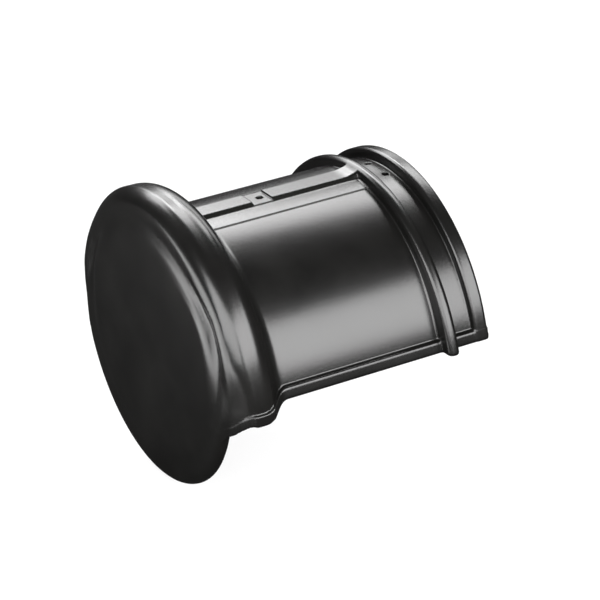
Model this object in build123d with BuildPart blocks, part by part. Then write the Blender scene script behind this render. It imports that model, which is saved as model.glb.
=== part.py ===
import math
import os

from build123d import *

os.makedirs("parts", exist_ok=True)

# Half-round ridge tile with a closed end, one piece of fired clay. Millimetres, +Z up.
# The origin lies in the plane of the hems, midway between them, just behind the closing disc.
# +X runs along the ridge from the disc to the open end.

# Half-round body
body_radius = 118.0
axis_drop = 20.8  # depth of the body's axis below the plane of the hems
length = 199.5  # from the origin to the open end
wall = 13.0

# Closing disc
disc_inset = 9.2  # how much smaller the disc's radius is than the body's
disc_lead = 4.2  # how far the disc's back lies in front of the origin
disc_thickness = 8.8
rim_round = 6.8
rim_back_round = 2.0
disc_backing = 5.2  # how much thicker the disc is inside the bell
flat_radius = 95.0  # of the flat part of the face, about the body's axis
face_roll = 32.0  # radius of the face's roll outside of the flat part

# Bell between the disc and the body
bell_swell = 7.5  # how far the bell stands out of the body at the sides
bell_rise = 24.0  # and at the crown
bell_roll = 15.0  # radius of its rounded front and back
crest_x = 6.0  # front end of the bell's crest
crest_width = 3.5
bell_dish = 4.6  # depth of the valley between the rolled front and the disc
flare_x = 19.0  # where the flare of the neck leaves the bell
flare_height = 7.5  # of the flare above the body there
neck_x = 34.0
neck_dip = 0.7  # how far the end of the flare lies below the body's surface
hollow_roll = 10.0

# Hems
hem_height = 9.0
hem_proud = 3.4
hem_round = 1.8
web_drop = 27.0  # how far the bell's lower edge sweeps down beside the disc
bell_hem_drop = 10.0  # how far it lies below the hems at the crest of the bell
bell_hem_proud = 2.0
bell_hem_height = 7.0

# Crown strip, bead and screw seat
strip_width = 49.0
strip_height = 1.0
bead_width = 26.0
bead_top_width = 15.0
bead_height = 3.2
bead_round = 1.5
seat_x = 81.5
seat_length = 16.0
seat_height = 1.4  # of the seat above the body
screw_hole_x = 83.5
screw_hole_diameter = 5.0

# Rib, nail holes and ring at the open end
rib_setback = 34.7  # of the rib's middle from the open end
rib_width = 9.5
rib_height = 7.6
rib_round = 4.2
rib_drop = 7.0  # how far the rib's circle is lowered, so that its feet stand out most
nail_setback = 17.5  # of the nail holes from the open end
nail_spacing = 24.0
nail_hole_diameter = 5.0
ring_width = 11.5
ring_rise = 5.0  # how far the ring's circle is lifted above the body's
ring_step = 3.0  # how much larger its radius is
ring_round = 3.0

body_crown = body_radius - axis_drop
bell_crown = body_crown + bell_rise
bell_radius = body_radius + bell_swell
disc_radius = body_radius - disc_inset
disc_back = -disc_lead
disc_front = disc_back - disc_thickness
hollow_front = disc_back + disc_backing
rib_x = length - rib_setback
nail_x = length - nail_setback
bell_centre = bell_crown - bell_radius
disc_centre = bell_crown - disc_radius
bell_front = crest_x - bell_roll
bell_back = crest_x + crest_width + bell_roll
web_x = bell_front - 1
reach = 2 * bell_radius
chords = 4  # in a small round


def across(centre_x, centre_z):
    return Plane(origin=(centre_x, 0, centre_z), x_dir=(0, 1, 0), z_dir=(1, 0, 0))


# Profiles are drawn as x and radius in the vertical plane through an axis along the ridge
def upright(axis_z):
    return Plane(origin=(0, 0, axis_z), x_dir=(1, 0, 0), z_dir=(0, -1, 0))


def ridge_axis(axis_z):
    return Axis((0, 0, axis_z), (1, 0, 0))


# Small round from start to stop inside the sharp corner, as a run of short chords
def eased(start, corner, stop):
    points = []
    for step in range(chords + 1):
        angle = math.pi / 2 * step / chords
        along = [1 - math.sin(angle), 1 - math.cos(angle)]
        points.append(tuple(c + (a - c) * along[0] + (b - c) * along[1] for a, c, b in zip(start, corner, stop)))
    return Polyline(*points)


# Solid turned about a ridge axis, from front to back, with both outer corners rounded. A dish lets the
# middle of its front lie deeper
def turned(axis_z, front, back, radius, front_round, back_round, large=False, dish=0):
    front_low = (front, radius - front_round)
    front_top = (front + front_round, radius)
    back_top = (back - back_round, radius)
    back_low = (back, radius - back_round)
    with BuildPart() as form:
        with BuildSketch(upright(axis_z)):
            with BuildLine():
                if dish:
                    Polyline((front + dish, 0), (front + dish, front_low[1] - 2 * dish), front_low)
                else:
                    Line((front, 0), front_low)
                if large:
                    RadiusArc(front_low, front_top, front_round)
                else:
                    eased(front_low, (front, radius), front_top)
                if back_top[0] > front_top[0]:
                    Line(front_top, back_top)
                eased(back_top, (back, radius), back_low)
                Polyline(back_low, (back, 0), (front + dish, 0))
            make_face()
        revolve(axis=ridge_axis(axis_z))
    return form.part


# Flare of the neck, turned about the body's axis
def neck_flare(grow):
    top = body_radius + grow + flare_height
    low = body_radius + grow - neck_dip
    with BuildPart() as form:
        with BuildSketch(upright(-axis_drop)):
            with BuildLine():
                Polyline((crest_x, 0), (crest_x, top), (flare_x, top))
                eased((flare_x, top), (flare_x + flare_height, low + neck_dip), (neck_x, low))
                Polyline((neck_x, low), (neck_x, 0), (crest_x, 0))
            make_face()
        revolve(axis=ridge_axis(-axis_drop))
    return form.part


# Everything below the lower edge of the tile, raised by lift. Seen from the side the edge is straight
# along the hems, and sweeps down beside the disc
def below_edge(lift):
    with BuildPart() as form:
        with BuildSketch(Plane.XZ):
            with BuildLine():
                Spline(
                    (web_x, lift - web_drop),
                    (crest_x, lift - bell_hem_drop),
                    (neck_x, lift),
                    tangents=((0, 1), (1, 0)),
                )
                Polyline((neck_x, lift), (reach, lift), (reach, -reach), (web_x, -reach), (web_x, lift - web_drop))
            make_face()
        extrude(amount=reach, both=True)
    return form.part


# Closing disc. Its face is flat in the middle, and rolls back towards the crown
with BuildPart() as disc:
    add(turned(disc_centre, disc_front, disc_back, disc_radius, rim_round, rim_back_round, large=True))
    with BuildSketch(upright(-axis_drop)):
        roll_reach = bell_crown + axis_drop + rim_round - flat_radius
        rolled = []
        for step in range(chords + 1):
            out = roll_reach * step / chords
            rolled.append((disc_front + out**2 / (2 * face_roll), flat_radius + out))
        before = disc_front - disc_thickness
        Polygon((before, flat_radius), *rolled, (before, rolled[-1][1]), align=None)
    revolve(axis=ridge_axis(-axis_drop), mode=Mode.SUBTRACT)

# Hem of the bell, the lower strip of a larger bell
with BuildPart() as bell_hem:
    hem_front = bell_front + bell_hem_proud
    hem_radius = bell_radius + bell_hem_proud
    add(turned(bell_centre, hem_front, bell_back, hem_radius, crest_x - hem_front, bell_roll))
    add(neck_flare(bell_hem_proud))
    add(below_edge(bell_hem_height), mode=Mode.INTERSECT)

# Hollow of the tile, open below and at the far end
with BuildPart() as hollow:
    with BuildSketch(upright(bell_centre)):
        inside = bell_radius - wall
        Polygon(
            (hollow_front, 0),
            (hollow_front, inside - hollow_roll),
            (hollow_front + hollow_roll, inside),
            (bell_back - hollow_roll, inside),
            (bell_back + hollow_roll, inside - 2 * hollow_roll),
            (bell_back + hollow_roll, 0),
            align=None,
        )
    revolve(axis=ridge_axis(bell_centre))
    with BuildSketch(across(crest_x, -axis_drop)):
        Circle(body_radius - wall)
    extrude(amount=length)

with BuildPart() as tile:
    with BuildSketch(across(crest_x, -axis_drop)):
        Circle(body_radius)
    extrude(amount=length - crest_x)
    add(turned(bell_centre, bell_front, bell_back, bell_radius, bell_roll, bell_roll, True, bell_dish))
    add(neck_flare(0))
    # Hems
    with BuildSketch(across(crest_x, 0)):
        Rectangle(reach, 2 * hem_height)
        with Locations((0, -axis_drop)):
            Circle(body_radius + hem_proud, mode=Mode.INTERSECT)
        fillet(vertices().group_by(Axis.Y)[-1], hem_round)
    extrude(amount=length - crest_x)
    add(bell_hem.part)
    # Strip along the crown
    with BuildSketch(across(crest_x, 0)):
        with Locations((0, body_crown / 2)):
            Rectangle(strip_width, body_crown + 2 * bead_height)
        with Locations((0, -axis_drop)):
            Circle(body_radius + strip_height, mode=Mode.INTERSECT)
    extrude(amount=rib_x - crest_x)
    # Bead on the strip
    with BuildSketch(across(crest_x, 0)):
        Polygon(
            (-bead_width / 2, body_crown),
            (-bead_top_width / 2, body_crown + bead_height),
            (bead_top_width / 2, body_crown + bead_height),
            (bead_width / 2, body_crown),
            (0, body_crown - bead_height),
            align=None,
        )
        fillet(vertices().group_by(Axis.Y)[-1], bead_round)
    extrude(amount=rib_x - crest_x)
    # Flat seat for a screw, let into the bead
    with BuildSketch(across(seat_x - seat_length / 2, body_crown + seat_height + bead_height / 2)):
        Rectangle(strip_width, bead_height)
    extrude(amount=seat_length, mode=Mode.SUBTRACT)
    # Rib with a rounded back, and the ring on the open end
    rib_front = rib_x - rib_width / 2
    rib_back = rib_x + rib_width / 2
    rib_radius = body_radius + rib_height + rib_drop
    add(turned(-axis_drop - rib_drop, rib_front, rib_back, rib_radius, rib_round, rib_round))
    ring_radius = body_radius + ring_step
    add(turned(ring_rise - axis_drop, length - ring_width, length, ring_radius, ring_round, ring_round))
    add(below_edge(0), mode=Mode.SUBTRACT)
    add(disc.part)
    add(hollow.part, mode=Mode.SUBTRACT)
    # Screw hole and nail holes
    with BuildSketch(Plane.XY):
        with Locations((screw_hole_x, 0)):
            Circle(screw_hole_diameter / 2)
        with Locations((nail_x, nail_spacing / 2), (nail_x, -nail_spacing / 2)):
            Circle(nail_hole_diameter / 2)
    extrude(amount=reach, mode=Mode.SUBTRACT)

tile.part.label = "ridge_tile"
export_step(tile.part, "parts/ridge_tile.step")
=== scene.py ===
import math

import bpy
import numpy as np
from mathutils import Matrix, Vector


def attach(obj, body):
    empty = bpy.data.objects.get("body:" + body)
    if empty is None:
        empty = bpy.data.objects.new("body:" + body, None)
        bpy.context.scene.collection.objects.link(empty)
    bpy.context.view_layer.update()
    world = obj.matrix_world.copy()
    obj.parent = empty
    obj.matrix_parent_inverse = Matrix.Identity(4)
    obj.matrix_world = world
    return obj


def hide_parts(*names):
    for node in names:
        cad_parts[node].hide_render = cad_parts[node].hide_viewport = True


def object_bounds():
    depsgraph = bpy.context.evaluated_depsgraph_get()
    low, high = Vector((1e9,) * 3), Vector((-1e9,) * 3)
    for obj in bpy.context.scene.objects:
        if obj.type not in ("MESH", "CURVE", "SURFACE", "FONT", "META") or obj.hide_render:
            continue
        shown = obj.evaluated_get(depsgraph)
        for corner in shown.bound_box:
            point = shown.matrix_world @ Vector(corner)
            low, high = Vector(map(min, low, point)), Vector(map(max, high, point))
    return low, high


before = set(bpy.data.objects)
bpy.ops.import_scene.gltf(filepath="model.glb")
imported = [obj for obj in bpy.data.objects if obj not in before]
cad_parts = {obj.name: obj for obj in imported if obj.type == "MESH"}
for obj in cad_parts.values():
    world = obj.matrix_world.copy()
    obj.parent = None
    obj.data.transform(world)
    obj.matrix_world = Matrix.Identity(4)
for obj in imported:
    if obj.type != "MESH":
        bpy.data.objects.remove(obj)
cad_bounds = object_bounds()

# Sizes of the tile in millimetres, as in the part's source. X runs along the ridge, Z up.
body_radius = 118.0
body_axis = -20.8
length = 199.5
wall = 13.0
body_crown = body_axis + body_radius

bell_rise = 24.0  # height of the bell above the body at the crown
bell_crown = body_crown + bell_rise
disc_radius = 108.8
disc_axis = bell_crown - disc_radius
disc_front = -13.0
disc_back = -4.2
rim_front_round = 6.8
rim_back_round = 2.0
flat_radius = 84.0  # of the flat part of the face, at the sides
face_roll = 11.0  # radius of the roll outside of it
crown_flat = 70.0  # the same two at the crown, where the face rolls back gently
crown_roll = 42.0
face_slope = 1.1  # steepest slope of the face beside the valley
crown_start = 45.0  # height where the gentle roll starts
crown_full = 95.0
valley_depth = 8.0  # the roll's depth, which dies out on the lobe below the hems
valley_top = 45.0
valley_foot = -22.0
bell_radius = 125.5
bell_axis = bell_crown - bell_radius
bell_front = -9.0
bell_back = 24.5
bell_roll = 15.0
bell_dish = 4.6  # depth of the valley between the bell's rolled front and the disc
dish_reach = 3.0  # how far the valley cuts into the roll
dish_foot, dish_full = -16.0, 16.0  # heights between which the valley fades in
bell_foot = 6.5  # how much slimmer the bell's front is at its feet
foot_z = 38.0
crest_x = 6.0
neck_x = 34.0
flare_x = 19.0
flare_side = 7.5  # height of the flare above the body at the sides
flare_top = 12.0  # and at the crown
hollow_start = 1.0
hollow_roll = 10.0

# Widths over which neighbouring forms run into each other
neck_blend = 5.0
valley_blend = 5.0
crown_blend = 12.0  # of disc and bell at the crown
face_blend = 4.0
floor_blend = 4.0  # of the disc's roll and the floor of the valley
bell_front_blend = 3.5
bead_blend = 0.8
seat_blend = 0.6
hem_top_blend = 1.6
hem_foot_blend = 0.9
rib_blend = 2.0
ring_blend = 1.2
edge_blend = 2.4
hollow_blend = 1.0
hole_blend = 0.5
least_share = 0.02  # of a blend's width that is left where it dies out

hem_height = 9.0
hem_proud = 3.4
bell_hem_proud = 2.0
bell_hem_drop = 10.0  # how far the lower edge of the bell lies below the hems
drop_start = 12.0
web_drop = 17.0  # how much further it sweeps down beside the disc
web_start = 3.0
web_end = -10.0
web_curve = 1.6  # power of that sweep
web_reach = 1.2  # share of its length that it runs, a little past its end

strip_half = 24.5
strip_height = 1.0
bead_half = 13.0
bead_top_half = 7.0
bead_height = 3.2
bead_sink = 0.6  # how far the bead's foot lies below the crown
bead_ramp = 1.5  # rise of the bead's end, which runs into the rib
ramp_start = 151.0
ramp_end = 161.0
seat_x = 81.5
seat_half = 8.0
seat_height = 1.4
screw_x = 83.5
hole_radius = 2.5

rib_x = 164.8
rib_half = 4.75
rib_round = 4.2
rib_radius = 132.6
rib_drop = 7.0  # how far the rib's circle is lowered, so that its feet stand out most
rib_axis = body_axis - rib_drop
nail_x = 182.0
nail_y = 12.0
ring_half = 5.75
ring_round = 3.0
ring_radius = 121.0
ring_rise = 5.0  # how far the ring's circle is lifted
ring_axis = body_axis + ring_rise


def smooth(share):
    share = np.clip(share, 0, 1)
    return share * share * (3 - 2 * share)


# Distance fields: negative inside the clay
def blend(a, b, width):
    share = np.clip(0.5 + 0.5 * (b - a) / width, 0, 1)
    return b + (a - b) * share - width * share * (1 - share)


def cut(a, b, width):
    return -blend(-a, b, width)


def keep(a, b, width):
    return -blend(-a, -b, width)


def turned(x, radius_here, middle_x, half, radius, corner):
    across = np.abs(x - middle_x) - (half - corner)
    out = radius_here - (radius - corner)
    outside = np.hypot(np.maximum(across, 0), np.maximum(out, 0))
    return outside + np.minimum(np.maximum(across, out), 0) - corner


# Turned form with a front corner and a back corner of their own
def stepped(x, out_of_rim, front, back, front_round, back_round):
    def corner(past_edge, rounding):
        across = past_edge + rounding
        out = out_of_rim + rounding
        outside = np.hypot(np.maximum(across, 0), np.maximum(out, 0))
        return outside + np.minimum(np.maximum(across, out), 0) - rounding

    return np.maximum(corner(front - x, front_round), corner(x - back, back_round))


def lower_edge(x):
    share = np.clip((neck_x - x) / (neck_x - drop_start), 0, 1)
    web = np.clip((web_start - x) / (web_start - web_end), 0, web_reach)
    return -bell_hem_drop * smooth(share) - web_drop * web**web_curve


# Body with the bell, and the flare of the neck between them
def body_and_bell(x, y, z):
    from_body = np.hypot(y, z - body_axis)
    from_bell = np.hypot(y, z - bell_axis)
    upward = np.clip((z - body_axis) / np.maximum(from_body, 1), 0, 1)
    share = np.clip((neck_x - x) / (neck_x - flare_x), 0, 1)
    flare = (flare_side + (flare_top - flare_side) * upward**2) * share**2
    body = np.maximum(from_body - body_radius - flare, np.maximum(x - length, crest_x - x))
    slimmer = bell_foot * smooth((foot_z - z) / foot_z) * smooth((crest_x - x) / bell_roll)
    bell = stepped(x, from_bell - bell_radius + slimmer, bell_front, bell_back, bell_roll, bell_roll)
    inward = smooth((bell_radius - bell_roll + dish_reach - from_bell) / (2 * bell_dish))
    inward *= smooth((z - dish_foot) / (dish_full - dish_foot))
    bell = keep(bell, bell_front + bell_dish * inward - x, bell_front_blend)
    return blend(body, bell, neck_blend)


# The whole tile
def tile_field(x, y, z):
    from_body = np.hypot(y, z - body_axis)
    edge = lower_edge(x)
    plain = body_and_bell(x, y, z)
    shell = plain
    # Crown strip with the bead on it
    along = np.maximum(x - rib_x, crest_x - x)
    strip = np.maximum(np.maximum(from_body - body_radius - strip_height, np.abs(y) - strip_half), along)
    shell = np.minimum(shell, strip)
    rise = smooth((bead_half - np.abs(y)) / (bead_half - bead_top_half))
    bead_end = bead_ramp * smooth((x - ramp_start) / (ramp_end - ramp_start))
    bead_top = body_crown - bead_sink + (bead_height + bead_end + bead_sink) * rise
    bead = np.maximum(np.maximum(z - bead_top, np.abs(y) - bead_half), along)
    shell = blend(shell, bead, bead_blend)
    seat = np.maximum(np.abs(x - seat_x) - seat_half, body_crown + seat_height - z)
    shell = cut(shell, seat, seat_blend)
    # Hems along both lower edges
    proud = bell_hem_proud * np.clip((x - disc_back) / (crest_x - disc_back), 0, 1)
    proud = proud + (hem_proud - bell_hem_proud) * np.clip((x - flare_x) / (neck_x - flare_x), 0, 1)
    hem = keep(plain - proud, z - edge - hem_height, hem_top_blend)
    hem = np.maximum(hem, x - length)
    shell = blend(shell, hem, hem_foot_blend)
    # Rib and ring
    from_rib = np.hypot(y, z - rib_axis)
    rib = turned(x, from_rib, rib_x, rib_half, rib_radius, rib_round)
    shell = blend(shell, rib, rib_blend)
    from_ring = np.hypot(y, z - ring_axis)
    ring = turned(x, from_ring, length - ring_half, ring_half, ring_radius, ring_round)
    shell = blend(shell, ring, ring_blend)
    shell = keep(shell, edge - z, edge_blend)
    # Closing disc
    from_disc = np.hypot(y, z - disc_axis)
    disc = stepped(x, from_disc - disc_radius, disc_front, disc_back, rim_front_round, rim_back_round)
    gentle = smooth((z - crown_start) / (crown_full - crown_start))
    deepest = valley_depth * np.clip((z - valley_foot) / (valley_top - valley_foot), 0, 1)
    deepest = deepest + (crown_roll - valley_depth) * gentle
    flat = flat_radius + (crown_flat - flat_radius) * gentle
    roll = face_roll + (crown_roll - face_roll) * gentle
    past_flat = np.maximum(from_disc - flat, 0) / roll
    slope = np.minimum(past_flat, face_slope)
    depth = blend(roll * (past_flat - slope / 2) * slope, deepest, floor_blend)
    face = (disc_front + depth - x) / np.sqrt(1 + slope**2)
    disc = keep(disc, face, face_blend)
    width = valley_blend + (crown_blend - valley_blend) * gentle
    width = width * np.clip((x - disc_front) / (bell_front - disc_front), least_share, 1)
    shell = blend(shell, disc, width)
    # Hollow
    inside = np.maximum(from_body - body_radius + wall, crest_x - x)
    from_bell = np.hypot(y, z - bell_axis)
    bell_hollow = bell_radius - wall
    slanted = math.sqrt(0.5)
    back_slant = (x + from_bell - (bell_back - hollow_roll + bell_hollow)) * slanted
    front_slant = (from_bell - x - (bell_hollow - hollow_roll - hollow_start)) * slanted
    bell_inside = np.maximum(np.maximum(hollow_start - x, from_bell - bell_hollow), back_slant)
    bell_inside = np.maximum(np.maximum(bell_inside, front_slant), x - bell_back - hollow_roll)
    shell = cut(shell, np.minimum(inside, bell_inside), hollow_blend)
    # Screw hole and nail holes
    screw = np.maximum(np.hypot(x - screw_x, y) - hole_radius, -z)
    nails = np.maximum(np.hypot(x - nail_x, np.abs(y) - nail_y) - hole_radius, -z)
    return cut(shell, np.minimum(screw, nails), hole_blend)


# Slope of a field at some points
def gradient(field, points, reach):
    slope = np.zeros_like(points)
    for a in range(3):
        shift = np.zeros(3)
        shift[a] = reach
        slope[:, a] = (field(*(points + shift).T) - field(*(points - shift).T)) / (2 * reach)
    return slope


# Moves of the vertices onto the surface
settle_rounds = 4
settle_reach = 0.02  # distance over which the field's slope is taken
settle_step = 1.0  # longest move in one round
least_steepness = 0.2  # keeps a move short where the field is nearly flat


# Mesh of the field: one vertex in each grid cell that the surface crosses, moved onto the surface
def mesh_from_field(field, xs, ys, zs):
    values = field(xs[:, None, None], ys[None, :, None], zs[None, None, :])
    inside = values < 0
    cells = (len(xs) - 1, len(ys) - 1, len(zs) - 1)
    total = np.zeros((cells[0] * cells[1] * cells[2], 3))
    count = np.zeros(cells[0] * cells[1] * cells[2])
    grid = (xs, ys, zs)
    quads = []
    for axis in range(3):
        one, two = (axis + 1) % 3, (axis + 2) % 3
        low = [slice(None)] * 3
        high = [slice(None)] * 3
        low[axis], high[axis] = slice(None, -1), slice(1, None)
        crossing = inside[tuple(low)] != inside[tuple(high)]
        place = np.argwhere(crossing)
        inner = np.all([(place[:, a] > 0) & (place[:, a] < cells[a]) for a in (one, two)], axis=0)
        place = place[inner]
        step = np.zeros(3, int)
        step[axis] = 1
        first = values[tuple(place.T)]
        second = values[tuple((place + step).T)]
        share = first / (first - second)
        point = np.stack([grid[a][place[:, a]] for a in range(3)], 1)
        point[:, axis] += share * (grid[axis][place[:, axis] + 1] - grid[axis][place[:, axis]])
        around = []
        for back_one, back_two in ((1, 1), (0, 1), (0, 0), (1, 0)):
            cell = place.copy()
            cell[:, one] -= back_one
            cell[:, two] -= back_two
            flat = np.ravel_multi_index(tuple(cell.T), cells)
            for a in range(3):
                total[:, a] += np.bincount(flat, point[:, a], len(total))
            count += np.bincount(flat, minlength=len(count))
            around.append(flat)
        quad = np.stack(around, 1)
        outward = first < 0
        quad[~outward] = quad[~outward][:, ::-1]
        quads.append(quad)
    used = np.flatnonzero(count)
    number = np.full(len(count), -1)
    number[used] = np.arange(len(used))
    vertices = total[used] / count[used][:, None]
    for _ in range(settle_rounds):
        value = field(*vertices.T)
        slope = gradient(field, vertices, settle_reach)
        steepness = np.maximum((slope**2).sum(1), least_steepness)
        vertices = vertices - np.clip(value / steepness, -settle_step, settle_step)[:, None] * slope
    return vertices, number[np.concatenate(quads)]


# Grid lines from runs with a start, a stop and a step
def spaced(*runs):
    pieces = [np.arange(start, stop, step) for start, stop, step in runs]
    return np.concatenate(pieces)


# The lines lie closer where the forms are small
xs = spaced(
    (-15, 37, 1.3),
    (37, 72, 6),
    (72, 92, 1.1),
    (92, 155.5, 6.35),
    (155.5, 171.5, 1.1),
    (171.5, 178, 2),
    (178, 202, 1.2),
)
half_ys = spaced((0.5, 28, 1.0), (28, 64, 3.2), (64, 98, 2.2), (98, 137, 1.3))
ys = np.concatenate([-half_ys[::-1], half_ys])
zs = spaced((-99, -30, 3), (-30, 12, 1.2), (12, 82, 2.4), (82, 127, 1.2))
vertices, quads = mesh_from_field(tile_field, xs, ys, zs)
normal_reach = 0.15
normals = gradient(tile_field, vertices, normal_reach)
normals /= np.linalg.norm(normals, axis=1)[:, None]

mesh = bpy.data.meshes.new("glazed_tile")
mm_in_metre = 1000
mesh.from_pydata((vertices / mm_in_metre).tolist(), [], quads.tolist())
mesh.polygons.foreach_set("use_smooth", np.ones(len(quads), bool))
mesh.normals_split_custom_set_from_vertices(normals.tolist())
mesh.update()
tile = bpy.data.objects.new("glazed_tile", mesh)
bpy.context.scene.collection.objects.link(tile)
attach(tile, "root")
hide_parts("ridge_tile")


# Materials
def new_material(name):
    material = bpy.data.materials.new(name)
    material.use_nodes = True
    nodes = material.node_tree.nodes
    nodes.clear()
    return material, nodes, material.node_tree.links


# Glaze: tones, roughness, and the sizes of cloud and grain as repeats in a metre
dark_tone = (0.0034, 0.0033, 0.0031, 1)
light_tone = (0.0060, 0.0058, 0.0054, 1)
glossy_roughness, dull_roughness = 0.235, 0.265
cloud_scale = 28.0
grain_scale = 420.0
grain_depth = 0.0006
grain_strength = 0.06


def black_glaze():
    material, nodes, links = new_material("black_glaze")
    out = nodes.new("ShaderNodeOutputMaterial")
    shader = nodes.new("ShaderNodeBsdfPrincipled")
    links.new(shader.outputs["BSDF"], out.inputs["Surface"])
    shader.inputs["IOR"].default_value = 1.5
    place = nodes.new("ShaderNodeTexCoord")
    # Cloudy change of tone and gloss over the glaze
    cloud = nodes.new("ShaderNodeTexNoise")
    cloud.inputs["Scale"].default_value = cloud_scale
    cloud.inputs["Detail"].default_value = 5.0
    links.new(place.outputs["Object"], cloud.inputs["Vector"])
    tone = nodes.new("ShaderNodeValToRGB")
    tone.color_ramp.elements[0].position = 0.3
    tone.color_ramp.elements[0].color = dark_tone
    tone.color_ramp.elements[1].position = 0.72
    tone.color_ramp.elements[1].color = light_tone
    links.new(cloud.outputs["Fac"], tone.inputs["Fac"])
    links.new(tone.outputs["Color"], shader.inputs["Base Color"])
    gloss = nodes.new("ShaderNodeMapRange")
    gloss.inputs["From Min"].default_value = 0.3
    gloss.inputs["From Max"].default_value = 0.7
    gloss.inputs["To Min"].default_value = glossy_roughness
    gloss.inputs["To Max"].default_value = dull_roughness
    links.new(cloud.outputs["Fac"], gloss.inputs["Value"])
    links.new(gloss.outputs["Result"], shader.inputs["Roughness"])
    # Fine grain of the fired clay under the glaze
    grain = nodes.new("ShaderNodeTexNoise")
    grain.inputs["Scale"].default_value = grain_scale
    grain.inputs["Detail"].default_value = 3.0
    links.new(place.outputs["Object"], grain.inputs["Vector"])
    bump = nodes.new("ShaderNodeBump")
    bump.inputs["Strength"].default_value = grain_strength
    bump.inputs["Distance"].default_value = grain_depth
    links.new(grain.outputs["Fac"], bump.inputs["Height"])
    links.new(bump.outputs["Normal"], shader.inputs["Normal"])
    return material


mesh.materials.append(black_glaze())


# The floor is pale to the camera and dim in the glaze. Most of its white glows, so the shadow is faint
glow_share = 0.8


def pale_floor():
    material, nodes, links = new_material("pale_floor")
    out = nodes.new("ShaderNodeOutputMaterial")
    path = nodes.new("ShaderNodeLightPath")
    pale = nodes.new("ShaderNodeBsdfDiffuse")
    pale.inputs["Color"].default_value = (0.9, 0.9, 0.9, 1)
    glow = nodes.new("ShaderNodeEmission")
    glow.inputs["Color"].default_value = (1, 1, 1, 1)
    glow.inputs["Strength"].default_value = 1.0
    seen = nodes.new("ShaderNodeMixShader")
    seen.inputs["Fac"].default_value = glow_share
    links.new(pale.outputs["BSDF"], seen.inputs[1])
    links.new(glow.outputs["Emission"], seen.inputs[2])
    dim = nodes.new("ShaderNodeBsdfDiffuse")
    dim.inputs["Color"].default_value = (0.025, 0.025, 0.025, 1)
    choose = nodes.new("ShaderNodeMixShader")
    links.new(path.outputs["Is Camera Ray"], choose.inputs["Fac"])
    links.new(dim.outputs["BSDF"], choose.inputs[1])
    links.new(seen.outputs["Shader"], choose.inputs[2])
    links.new(choose.outputs["Shader"], out.inputs["Surface"])
    return material


# Floor under the lowest point of the disc
lowest = min(cad_bounds[0][2], cad_bounds[1][2])
floor_size = 12.0
floor_gap = 0.0005
bpy.ops.mesh.primitive_plane_add(size=floor_size, location=(0, 0, lowest - floor_gap))
floor = bpy.context.object
floor.name = "floor"
floor.data.materials.append(pale_floor())

# Backdrop: pale to the camera, nearly dark in the glaze
world = bpy.data.worlds.new("studio")
bpy.context.scene.world = world
world.use_nodes = True
nodes, links = world.node_tree.nodes, world.node_tree.links
nodes.clear()
sky_out = nodes.new("ShaderNodeOutputWorld")
sky_path = nodes.new("ShaderNodeLightPath")
sky_pale = nodes.new("ShaderNodeBackground")
sky_pale.inputs["Color"].default_value = (1, 1, 1, 1)
sky_dim = nodes.new("ShaderNodeBackground")
sky_dim.inputs["Color"].default_value = (0.03, 0.03, 0.032, 1)
sky_mix = nodes.new("ShaderNodeMixShader")
links.new(sky_path.outputs["Is Camera Ray"], sky_mix.inputs["Fac"])
links.new(sky_dim.outputs["Background"], sky_mix.inputs[1])
links.new(sky_pale.outputs["Background"], sky_mix.inputs[2])
links.new(sky_mix.outputs["Shader"], sky_out.inputs["Surface"])

tile_middle = Vector((0.09, 0, 0.04))


# Way from the tile to a place around it, with azimuth 0 towards -Y
def direction(azimuth, elevation):
    a, e = math.radians(azimuth), math.radians(elevation)
    return Vector((math.sin(a) * math.cos(e), -math.cos(a) * math.cos(e), math.sin(e)))


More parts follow.
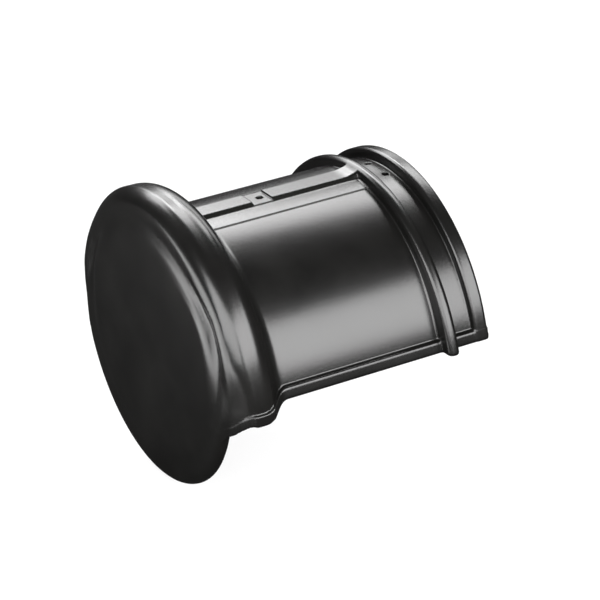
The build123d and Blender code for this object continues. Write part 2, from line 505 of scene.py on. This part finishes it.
def area_light(name, width, height, power):
    light = bpy.data.lights.new(name, "AREA")
    light.shape = "RECTANGLE"
    light.size, light.size_y = width, height
    light.energy = power
    lamp = bpy.data.objects.new(name, light)
    bpy.context.scene.collection.objects.link(lamp)
    lamp.visible_camera = False
    return lamp


# Soft box that faces the tile, named by the way that it lies from it
def soft_box(name, azimuth, elevation, distance, width, height, power):
    lamp = area_light(name, width, height, power)
    toward = direction(azimuth, elevation)
    lamp.location = tile_middle + distance * toward
    lamp.rotation_euler = toward.to_track_quat("Z", "Y").to_euler()


soft_box("front_right", azimuth=16, elevation=23, distance=2.2, width=2.3, height=1.3, power=95)
soft_box("front_left", azimuth=-50, elevation=24, distance=2.6, width=2.9, height=1.6, power=125)
soft_box("left", azimuth=-103, elevation=-3, distance=0.7, width=0.7, height=0.16, power=2.0)
soft_box("behind", azimuth=180, elevation=40, distance=2.4, width=2.1, height=1.0, power=60)
soft_box("behind_right", azimuth=135, elevation=48, distance=2.4, width=1.4, height=0.75, power=32)
soft_box("behind_low", azimuth=142, elevation=24, distance=2.6, width=2.4, height=0.65, power=17)

# Soft box that lies on the floor and faces up. It shows in the disc's rolled edge
card_x = -0.5
card_gap = 0.002
card = area_light("left_card", width=0.4, height=0.6, power=5.0)
card.location = (card_x, 0, lowest + card_gap)
card.rotation_euler = (math.pi, 0, 0)

# Camera at the photo's angle
photo_lens = 179.87
photo_sensor = 36.0
camera_aim = Vector((0.10246, -0.01803, 0.01901))
camera_distance = 2.1764
camera_roll = math.radians(-2.9145)
camera_back = direction(azimuth=-28.8653, elevation=24.9775)
level = Vector((0, 0, 1)).cross(camera_back).normalized()
upright = camera_back.cross(level)
camera_right = level * math.cos(camera_roll) + upright * math.sin(camera_roll)
camera_up = upright * math.cos(camera_roll) - level * math.sin(camera_roll)
camera_data = bpy.data.cameras.new("photo_camera")
camera_data.sensor_width = photo_sensor
camera_data.lens = photo_lens
camera = bpy.data.objects.new("photo_camera", camera_data)
bpy.context.scene.collection.objects.link(camera)
turn = Matrix((camera_right, camera_up, camera_back)).transposed().to_4x4()
camera.matrix_world = Matrix.Translation(camera_aim + camera_distance * camera_back) @ turn
bpy.context.scene.camera = camera
bpy.context.scene.view_settings.view_transform = "Standard"
